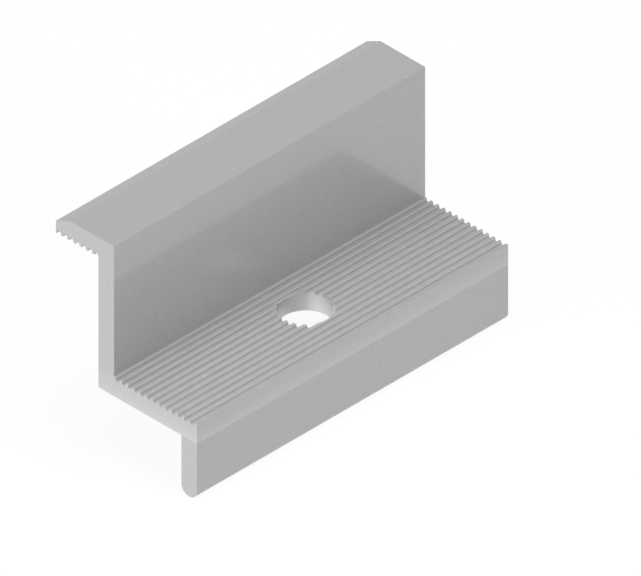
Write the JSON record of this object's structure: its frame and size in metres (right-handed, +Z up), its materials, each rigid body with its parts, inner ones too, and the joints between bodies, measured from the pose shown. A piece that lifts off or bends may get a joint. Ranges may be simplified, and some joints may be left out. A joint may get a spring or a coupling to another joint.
{
  "type": "solar end clamp",
  "caption": "Z-section extruded aluminium clamp: toothed hook over a panel frame's edge, upright wall, grooved bolt flange with a clearance hole, and a round-footed leg.",
  "frame": {"origin": "on the bolt hole's axis, level with the underside of the bolt flange", "axes": "+Z up along the bolt towards its head, +Y along the extrusion, +X from the panel side to the leg side"},
  "size_m": [0.0272, 0.06, 0.0345],
  "materials": {
    "mill_aluminium": "satin, as extruded"
  },
  "bodies": {
    "root": {"clamp_body": "mill_aluminium"}
  },
  "joints": []
}
